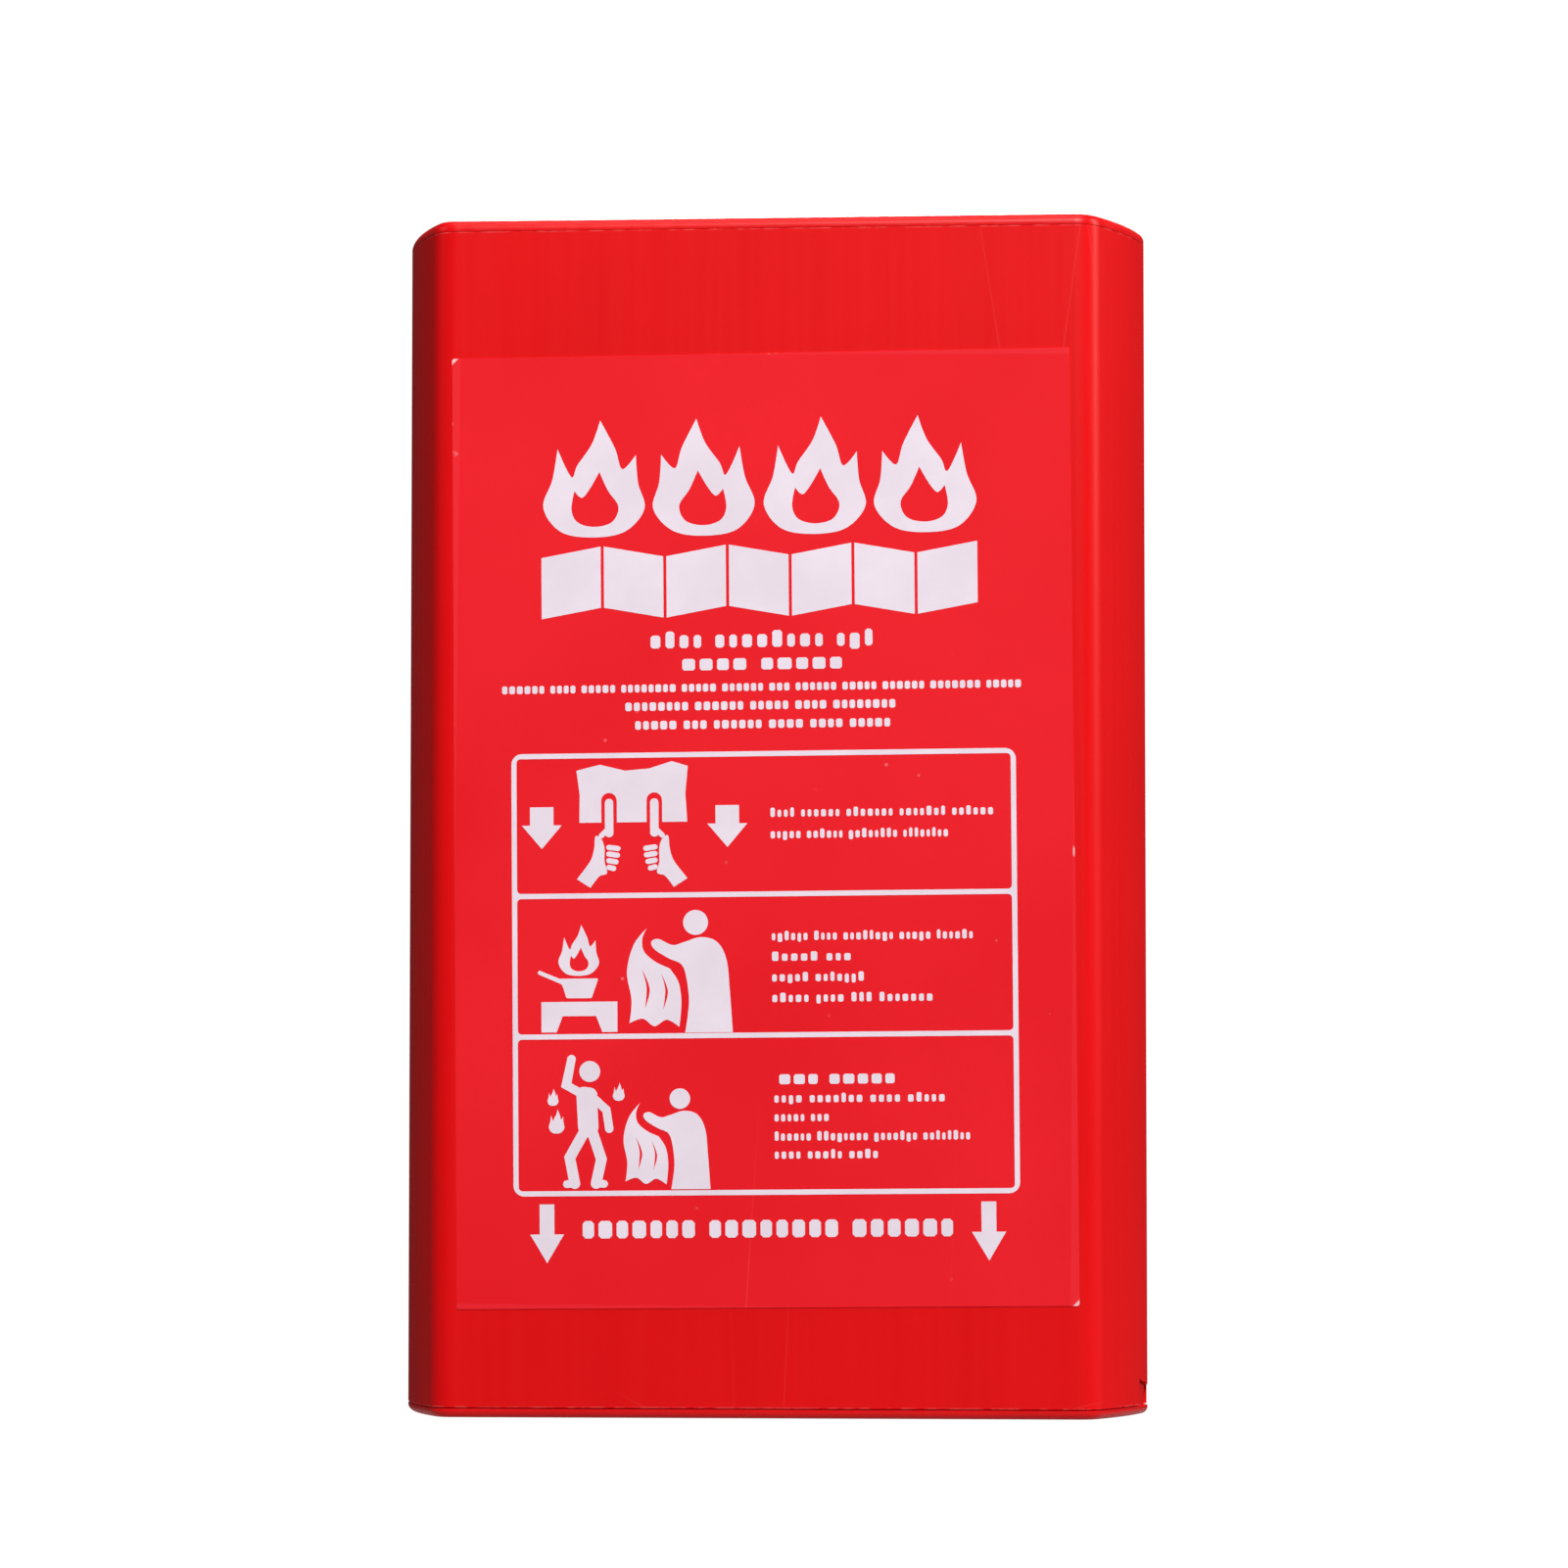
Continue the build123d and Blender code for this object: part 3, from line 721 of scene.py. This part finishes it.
def cloth_point(s, t):
    """Where the point s across and t along the flat cloth lies in the folded pack."""
    half = PACK_SIZE.x / 2 - PITCH / 2
    panel, share, angle = split(s, ACROSS, math.pi * PITCH / 2)
    ends = []
    for edge in (panel, panel + 1):
        side = 1 if edge % 2 else -1
        wander = FREE_WANDER if edge in (0, ACROSS) else SIDE_WANDER
        ends.append(side * (half - wander * uneven(edge, t) - SIDE_GAP))
    depth = (panel + 0.5) * PITCH
    x = ends[0] + (ends[1] - ends[0]) * share
    if angle is not None:
        x = ends[1] + math.copysign(PITCH / 2 * math.sin(angle), ends[1])
        depth = (panel + 1) * PITCH - PITCH / 2 * math.cos(angle)
    group, share, angle = split(t, ALONG, math.pi * GROUP / 2)
    tall = PACK_SIZE.z / 2 - GROUP
    ends = []
    for edge in (group, group + 1):
        side = 1 if edge % 2 else -1
        ends.append(side * (tall - END_WANDER * uneven(edge + 20, s)))
    if group == 0:
        ends[0] = -(PACK_SIZE.z / 2 - FIRST_GAP)
    if group == ALONG - 1:
        ends[1] = math.copysign(PACK_SIZE.z / 2 - LAST_GAP, ends[1])
    z = ends[0] + (ends[1] - ends[0]) * share
    even = group % 2 == 0
    y = group * GROUP + (depth if even else GROUP - depth)
    if angle is not None:
        reach = GROUP - depth if even else depth
        z = ends[1] + math.copysign(reach * math.sin(angle), ends[1])
        y = (group + 1) * GROUP - reach * math.cos(angle)
    dish = math.cos(math.pi * x / PACK_SIZE.x) * math.cos(math.pi * z / PACK_SIZE.z)
    ripple = RIPPLE * noise.noise(Vector((x * 22.0, z * 16.0, group * 1.9)))
    y = (y - PACK_SIZE.y / 2) * (FULLNESS - SETTLING * dish) + ripple
    return Vector((x, y, z)) + PACK_MIDDLE


def sample_lines(panels, bend, straight, curved):
    """Distances along the cloth at which it is sampled: even on the flats, close on the bends."""
    panel_length = CLOTH_SIDE / panels
    lines = [0.0, HEM, HEM + 0.4 * MM, CLOTH_SIDE - HEM - 0.4 * MM, CLOTH_SIDE - HEM, CLOTH_SIDE]
    for panel in range(panels):
        start = panel * panel_length + (bend / 2 if panel else 0.0)
        end = (panel + 1) * panel_length - (bend / 2 if panel < panels - 1 else 0.0)
        lines += [start + (end - start) * i / straight for i in range(straight + 1)]
        if panel < panels - 1:
            lines += [end + bend * i / curved for i in range(1, curved)]
    lines.sort()
    return [a for a, b in zip(lines, [*lines[1:], math.inf]) if b - a > 0.05 * MM]


def grid_mesh(name, rows, columns, place):
    """A mesh over a grid of values, with its flat coordinates in metres as the UV map 'cloth'."""
    points = [place(s, t) for t in rows for s in columns]
    wide = len(columns)
    faces = []
    for j in range(len(rows) - 1):
        for i in range(wide - 1):
            a = j * wide + i
            faces.append((a, a + 1, a + wide + 1, a + wide))
    mesh = bpy.data.meshes.new(name)
    mesh.from_pydata(points, [], faces)
    layer = mesh.uv_layers.new(name="cloth")
    flat = [(s, t) for t in rows for s in columns]
    for corner in mesh.loops:
        layer.data[corner.index].uv = flat[corner.vertex_index]
    mesh.polygons.foreach_set("use_smooth", [True] * len(mesh.polygons))
    return mesh, flat


def make_blanket():
    columns = sample_lines(ACROSS, math.pi * PITCH / 2, 10, 6)
    rows = sample_lines(ALONG, math.pi * GROUP / 2, 26, 12)
    mesh, flat = grid_mesh("folded_blanket", rows, columns, cloth_point)
    mesh.materials.append(MATERIALS["glass_cloth"])
    piece = bpy.data.objects.new("folded_blanket", mesh)
    bpy.context.collection.objects.link(piece)
    thick = piece.vertex_groups.new(name="thickness")
    for i, (s, t) in enumerate(flat):
        from_edge = min(s, t, CLOTH_SIDE - s, CLOTH_SIDE - t)
        thick.add([i], 1.0 if from_edge < HEM + 0.1 * MM else THIN_SHARE, "REPLACE")
    solid = piece.modifiers.new("thickness", "SOLIDIFY")
    solid.thickness = HEM_THICKNESS
    solid.offset = 0.0
    solid.vertex_group = "thickness"
    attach(piece, "blanket")
    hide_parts("blanket")
    stitches = make_hem_stitches()
    return piece


def add_stitch(builder, start, end, thickness, lift):
    """One stitch: a short rounded thread from start to end, bowed towards lift."""
    along = (end - start).normalized()
    side = along.cross(lift).normalized()
    rings, around = 7, 6
    previous = None
    for i in range(rings):
        share = i / (rings - 1)
        centre = start.lerp(end, share) + lift * math.sin(math.pi * share) * thickness * 0.5
        radius = thickness / 2 * max(math.sin(math.pi * (0.08 + 0.84 * share)) ** 0.4, 0.2)
        ring = []
        for k in range(around):
            a = 2 * math.pi * k / around
            ring.append(builder.verts.new(centre + radius * (math.cos(a) * side + math.sin(a) * lift)))
        if previous:
            for k in range(around):
                m = (k + 1) % around
                builder.faces.new((previous[k], previous[m], ring[m], ring[k]))
        else:
            builder.faces.new(ring[::-1])
        previous = ring
    builder.faces.new(previous)


def make_hem_stitches():
    """The hem's seam, where it shows on the front and back of the pack."""
    builder = bmesh.new()
    seam = HEM - 2 * MM
    far_seam = CLOTH_SIDE - seam
    step = 3.4 * MM
    stitch = step * 0.78
    first = 9 * MM
    thickness = 0.34 * MM
    rows = []
    upright = int((CLOTH_SIDE / ALONG - 16 * MM) / step)
    for a in (first + i * step for i in range(upright)):
        rows.append(((seam, a), (seam, a + stitch), -1))
        rows.append(((seam, CLOTH_SIDE - a), (seam, CLOTH_SIDE - a - stitch), 1))
    level = int((CLOTH_SIDE / ACROSS - 14 * MM) / step)
    for a in (first + i * step for i in range(level)):
        rows.append(((a, seam), (a + stitch, seam), -1))
        rows.append(((a, far_seam), (a + stitch, far_seam), 1))
    for start, end, side in rows:
        lift = Vector((0, side, 0))
        shift = lift * HEM_THICKNESS / 2
        add_stitch(builder, cloth_point(*start) + shift, cloth_point(*end) + shift, thickness, lift)
    mesh = bpy.data.meshes.new("hem_stitches")
    bmesh.ops.recalc_face_normals(builder, faces=builder.faces)
    builder.to_mesh(mesh)
    builder.free()
    mesh.polygons.foreach_set("use_smooth", [True] * len(mesh.polygons))
    mesh.materials.append(MATERIALS["thread"])
    piece = bpy.data.objects.new("hem_stitches", mesh)
    bpy.context.collection.objects.link(piece)
    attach(piece, "blanket")
    return piece


# ---- woven tapes --------------------------------------------------------------------------------
TAPE_LOW, TAPE_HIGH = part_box("right_tape_anchor")
TAPE_THICK = TAPE_HIGH.y - TAPE_LOW.y
TAPE_WIDE = TAPE_HIGH.x - TAPE_LOW.x
TAPE_X = (TAPE_HIGH.x + TAPE_LOW.x) / 2
TAPE_Y = (TAPE_HIGH.y + TAPE_LOW.y) / 2
DROP = Vector(JOINTS["right_tape_drop"]["pos_m"])
TURN = Vector(JOINTS["right_tape_unfold"]["pos_m"])


def sweep_tape(name, path, x):
    """A woven tape along a path in the plane of constant x: (y, z) points.  Its edges are rounded,
    with a slightly thicker selvedge: steps has shares of half the width and of the thickness."""
    count = len(path)
    lengths = [0.0]
    for a, b in zip(path, path[1:]):
        lengths.append(lengths[-1] + math.dist(a, b))
    half = TAPE_WIDE / 2
    underside = 0.1                          # the underside's own place in the flat pattern
    steps = ((0.3, 0.9), (0.6, 0.9), (0.9, 0.9), (0.95, 1.0), (0.985, 0.62))
    left_half = [(-share, thick) for share, thick in steps[::-1]]
    profile = []
    for side in (1, -1):
        for share, thick in (*left_half, (0.0, 0.9), *steps):
            profile.append((side * share * half, side * thick * TAPE_THICK / 2, side))
        profile.append((side * half, 0.0, side))
    wide = len(profile)
    points, flat = [], []
    for i, (y, z) in enumerate(path):
        before, after = path[max(i - 1, 0)], path[min(i + 1, count - 1)]
        heading = Vector((after[0] - before[0], after[1] - before[1])).normalized()
        normal = Vector((-heading.y, heading.x))
        for across, lift, side in profile:
            points.append((x + across, y + normal.x * lift, z + normal.y * lift))
            flat.append((across + (0 if side > 0 else underside), lengths[i]))
    faces = []
    for i in range(count - 1):
        for k in range(wide):
            a, b = i * wide + k, i * wide + (k + 1) % wide
            faces.append((a, b, b + wide, a + wide))
    for start in (0, (count - 1) * wide):
        for k in range(wide // 2 - 2):
            quad = (start + k, start + k + 1, start + wide - 3 - k, start + wide - 2 - k)
            faces.append(quad if start else quad[::-1])
    mesh = bpy.data.meshes.new(name)
    mesh.from_pydata(points, [], faces)
    builder = bmesh.new()
    builder.from_mesh(mesh)
    bmesh.ops.holes_fill(builder, edges=[e for e in builder.edges if e.is_boundary])
    bmesh.ops.recalc_face_normals(builder, faces=builder.faces)
    builder.to_mesh(mesh)
    builder.free()
    layer = mesh.uv_layers.new(name="cloth")
    for corner in mesh.loops:
        layer.data[corner.index].uv = flat[corner.vertex_index]
    mesh.polygons.foreach_set("use_smooth", [True] * len(mesh.polygons))
    mesh.materials.append(MATERIALS["webbing"])
    piece = bpy.data.objects.new(name, mesh)
    bpy.context.collection.objects.link(piece)
    return piece, (TAPE_WIDE, lengths[-1])


def line(start, end, count):
    """Evenly spaced points from start to end."""
    return [
        (start[0] + (end[0] - start[0]) * i / count, start[1] + (end[1] - start[1]) * i / count)
        for i in range(count + 1)
    ]


def round_bend(centre, radius, start, end, count):
    """Points round a bend, without its first, from one angle to the other in degrees."""
    return arc(centre[0], centre[1], radius, start, end, count)[1:]


def make_tape(side, sign):
    """One tape in three pieces: sewn up the pack, under the cap, and its doubled end."""
    x = sign * TAPE_X
    tail_low, tail_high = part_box("right_tape_tail")
    tail_z = (tail_low.z + tail_high.z) / 2
    loop_low, loop_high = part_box("right_tape_loop")
    first_z = loop_high.z - TAPE_THICK / 2
    second_z = loop_low.z + TAPE_THICK / 2
    drop_radius = DROP.z - tail_z
    turn_radius = (tail_z - first_z) / 2

    split_z = DROP.z + 0.7 * MM
    path = line((TAPE_Y, TAPE_HIGH.z), (TAPE_Y, split_z), 24)
    sewn, size = sweep_tape(f"{side}_tape_sewn", path, x)
    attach(sewn, "blanket")
    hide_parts(f"{side}_tape_anchor")

    path = [(TAPE_Y, split_z), (TAPE_Y, DROP.z)]
    path += round_bend((DROP.y, DROP.z), drop_radius, 180, 270, 8)
    path += line((DROP.y, tail_z), (TURN.y, tail_z), 14)[1:]
    tail, size = sweep_tape(f"{side}_tape_tail_woven", path, x)
    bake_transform(tail)
    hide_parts(f"{side}_tape_tail")

    path = [(TURN.y, tail_z)]
    path += round_bend((TURN.y, TURN.z), turn_radius, 90, -90, 14)
    end_y = loop_low.y + 1.2 * MM
    path += line((TURN.y, first_z), (end_y, first_z), 14)[1:]
    end_radius = (first_z - second_z) / 2
    path += round_bend((end_y, second_z + end_radius), end_radius, 90, 270, 8)
    path += line((end_y, second_z), (TURN.y - 1.0 * MM, second_z), 14)[1:]
    loop, size = sweep_tape(f"{side}_tape_loop_woven", path, x)
    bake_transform(loop)
    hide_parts(f"{side}_tape_loop")


# ---- stage --------------------------------------------------------------------------------------
LIGHTS_AIM = Vector((0, 0, 0.14))


def make_camera():
    """The viewpoint: low, a little to the object's right, and far away with a long lens."""
    azimuth, elevation = math.radians(4.73), math.radians(-3.27)
    distance = 1.326
    target = Vector((4.5 * MM, LABEL_HIGH.y, 141.4 * MM))
    away = Vector((
        math.sin(azimuth) * math.cos(elevation),
        -math.cos(azimuth) * math.cos(elevation),
        math.sin(elevation),
    ))
    data = bpy.data.cameras.new("camera")
    data.lens = 136.1
    data.sensor_width = 36.0
    camera = bpy.data.objects.new("camera", data)
    camera.location = target + away * distance
    camera.rotation_mode = "QUATERNION"
    camera.rotation_quaternion = (-away).to_track_quat("-Z", "Y")
    bpy.context.collection.objects.link(camera)
    bpy.context.scene.camera = camera


def add_light(name, azimuth, elevation, distance, size, watts):
    """A soft rectangular light, placed by the direction that it shines from."""
    a, e = math.radians(azimuth), math.radians(elevation)
    away = Vector((math.sin(a) * math.cos(e), -math.cos(a) * math.cos(e), math.sin(e)))
    data = bpy.data.lights.new(name, "AREA")
    data.shape = "RECTANGLE"
    data.size, data.size_y = size
    data.energy = watts
    light = bpy.data.objects.new(name, data)
    light.location = LIGHTS_AIM + away * distance
    light.rotation_mode = "QUATERNION"
    light.rotation_quaternion = away.to_track_quat("Z", "Y")
    bpy.context.collection.objects.link(light)


def make_lights():
    add_light("key_from_upper_right", 14, 38, 2.7, (0.8, 0.8), 76)
    add_light("right_side", 95, 24, 2.0, (0.5, 1.1), 21)
    add_light("left_side", 287, 30, 2.2, (0.5, 0.9), 4)
    add_light("soft_top", 0, 80, 1.5, (1.0, 0.7), 6)
    add_light("from_behind", 180, 34, 2.4, (0.7, 0.9), 30)


def make_world():
    """White to the eye, but dim as a source of light, so that the lights shape the object."""
    world = bpy.data.worlds.new("studio")
    bpy.context.scene.world = world
    world.use_nodes = True
    tree = world.node_tree
    back = tree.nodes["Background"]
    back.inputs["Color"].default_value = (1, 1, 1, 1)
    rays = tree.nodes.new("ShaderNodeLightPath")
    strength = tree.nodes.new("ShaderNodeMapRange")
    strength.inputs["To Min"].default_value = 0.05
    strength.inputs["To Max"].default_value = 1.0
    tree.links.new(rays.outputs["Is Camera Ray"], strength.inputs["Value"])
    tree.links.new(strength.outputs["Result"], back.inputs["Strength"])


def make_floor():
    """A plain pale floor, low enough for the blanket to be drawn out above it."""
    hanging_tape = 2 * (TURN.y - DROP.y)
    room = 30 * MM
    level = -(RELEASE + hanging_tape + room)
    bpy.ops.mesh.primitive_circle_add(vertices=96, radius=12.0, fill_type="NGON", location=(0, 0, level))
    floor = bpy.context.object
    floor.name = "floor"
    material = bpy.data.materials.new("pale_floor")
    material.use_nodes = True
    tree = material.node_tree
    surface = tree.nodes["Principled BSDF"]
    surface.inputs["Base Color"].default_value = (0.35, 0.35, 0.35, 1)
    surface.inputs["Roughness"].default_value = 1.0
    surface.inputs["Specular IOR Level"].default_value = 0.0
    glow = tree.nodes.new("ShaderNodeEmission")
    glow.inputs["Strength"].default_value = 1.0
    choose = tree.nodes.new("ShaderNodeAddShader")
    only_seen = tree.nodes.new("ShaderNodeMixShader")
    rays = tree.nodes.new("ShaderNodeLightPath")
    tree.links.new(surface.outputs[0], choose.inputs[0])
    tree.links.new(glow.outputs[0], choose.inputs[1])
    tree.links.new(rays.outputs["Is Camera Ray"], only_seen.inputs[0])
    tree.links.new(surface.outputs[0], only_seen.inputs[1])
    tree.links.new(choose.outputs[0], only_seen.inputs[2])
    under = tree.nodes.new("ShaderNodeNewGeometry")
    clear = tree.nodes.new("ShaderNodeBsdfTransparent")
    one_sided = tree.nodes.new("ShaderNodeMixShader")
    tree.links.new(under.outputs["Backfacing"], one_sided.inputs[0])
    tree.links.new(only_seen.outputs[0], one_sided.inputs[1])
    tree.links.new(clear.outputs[0], one_sided.inputs[2])
    tree.links.new(one_sided.outputs[0], tree.nodes["Material Output"].inputs["Surface"])
    floor.data.materials.append(material)


# ---- put it together ----------------------------------------------------------------------------
MATERIALS = {
    "case_plastic": case_plastic(),
    "cap_plastic": cap_plastic(),
    "label_vinyl": label_vinyl(),
    "label_ink": label_ink(),
    "glass_cloth": glass_cloth(),
    "webbing": webbing(),
    "thread": sewing_thread(),
}


def dress_frame():
    """Gives every CAD node the material of its slot."""
    for part in frame["record"]["subparts"]:
        node = frame["nodes"][part["node"]]
        node.data.materials.clear()
        node.data.materials.append(MATERIALS[part["material_slot"]])


bpy.context.scene.view_settings.view_transform = "Standard"
make_camera()
dress_frame()
make_label_print()
make_blanket()
make_tape("left", -1)
make_tape("right", 1)
make_lights()
make_world()
make_floor()
